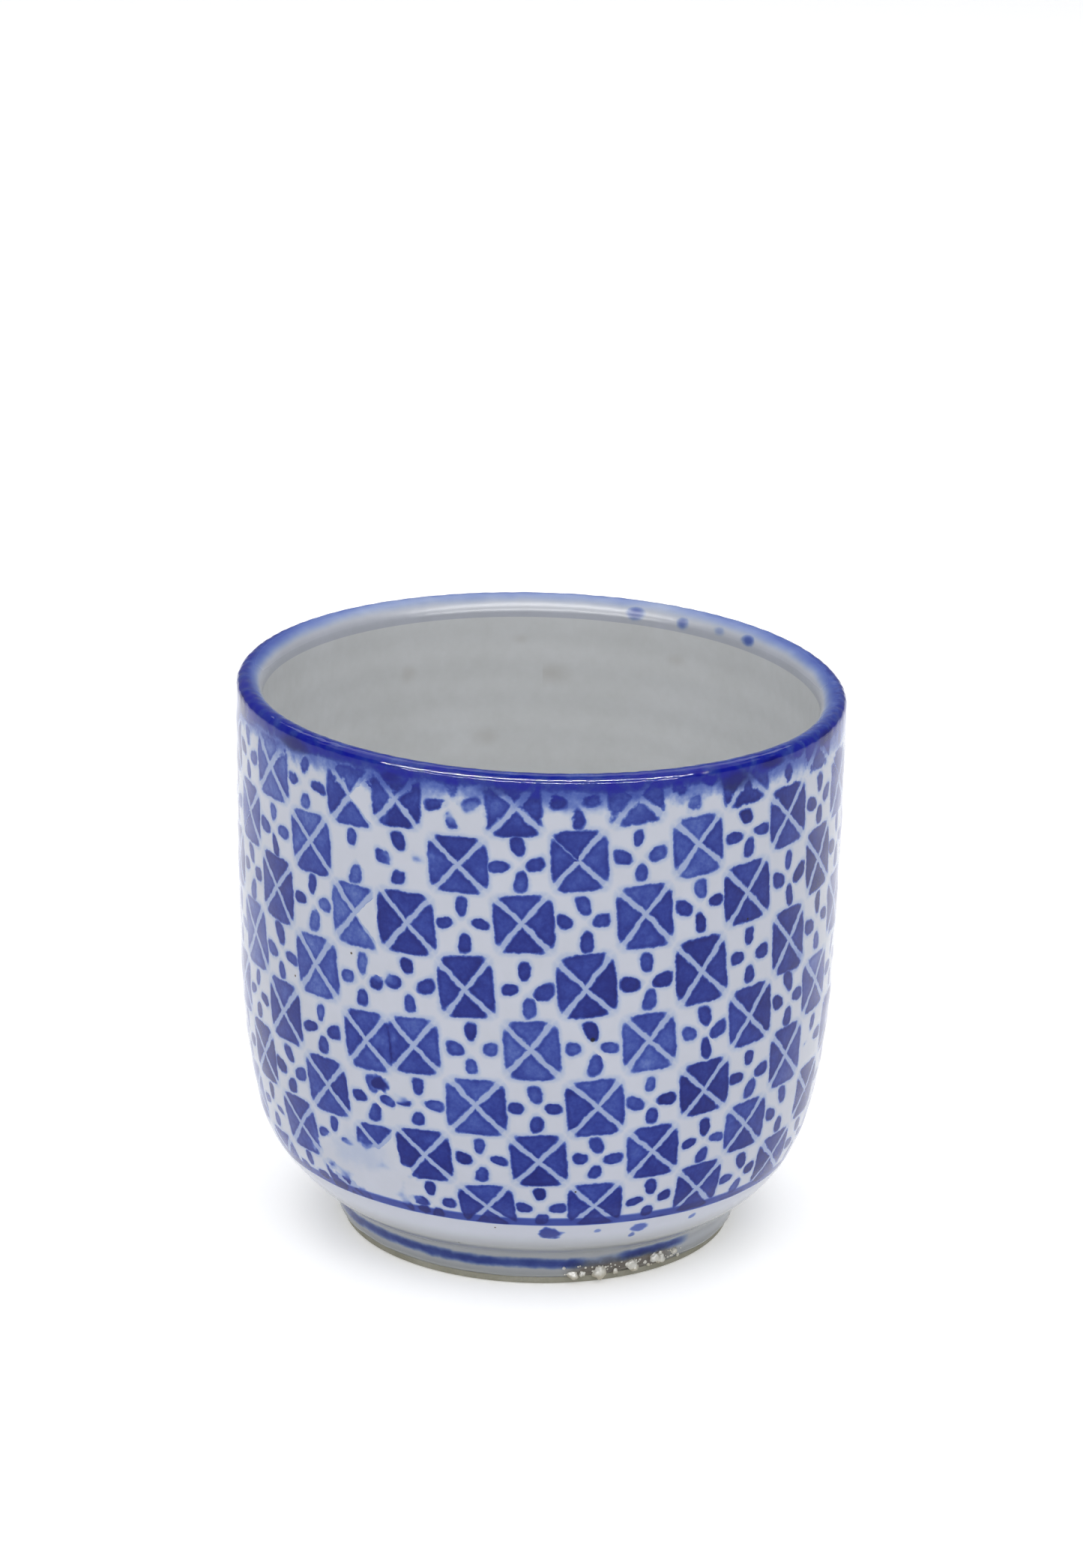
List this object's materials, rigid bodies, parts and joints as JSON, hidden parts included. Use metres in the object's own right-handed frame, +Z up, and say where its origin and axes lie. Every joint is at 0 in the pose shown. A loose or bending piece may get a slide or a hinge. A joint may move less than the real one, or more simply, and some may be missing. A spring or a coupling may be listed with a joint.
{
  "type": "teacup",
  "caption": "Handleless porcelain teacup: near-straight wall, rounded base and turned foot ring, clear glaze over a blue check-and-flower print, blue lip band.",
  "frame": {"origin": "middle of the foot ring's resting plane", "axes": "+Z up the cup's axis of revolution; the front of the cup faces -Y, +X is to its right"},
  "size_m": [0.08, 0.08, 0.0748],
  "materials": {
    "porcelain": "fired white porcelain, matt where bare",
    "bare_foot": "bare fired clay, grey-olive from handling, matt",
    "printed_glaze": "clear glaze over a cobalt print, glossy",
    "clear_glaze": "clear bluish-white glaze, glossy",
    "cobalt": "cobalt blue under clear glaze, glossy",
    "grit": "rough kiln grit"
  },
  "bodies": {
    "root": {"porcelain_body": "porcelain", "foot_ring": "bare_foot", "outer_glaze": "printed_glaze", "base_glaze": "clear_glaze", "inner_glaze": "clear_glaze", "foot_well_glaze": "clear_glaze", "rim_band": "cobalt", "shoulder_line": "cobalt", "foot_line": "cobalt", "kiln_grit": "grit"}
  },
  "joints": []
}
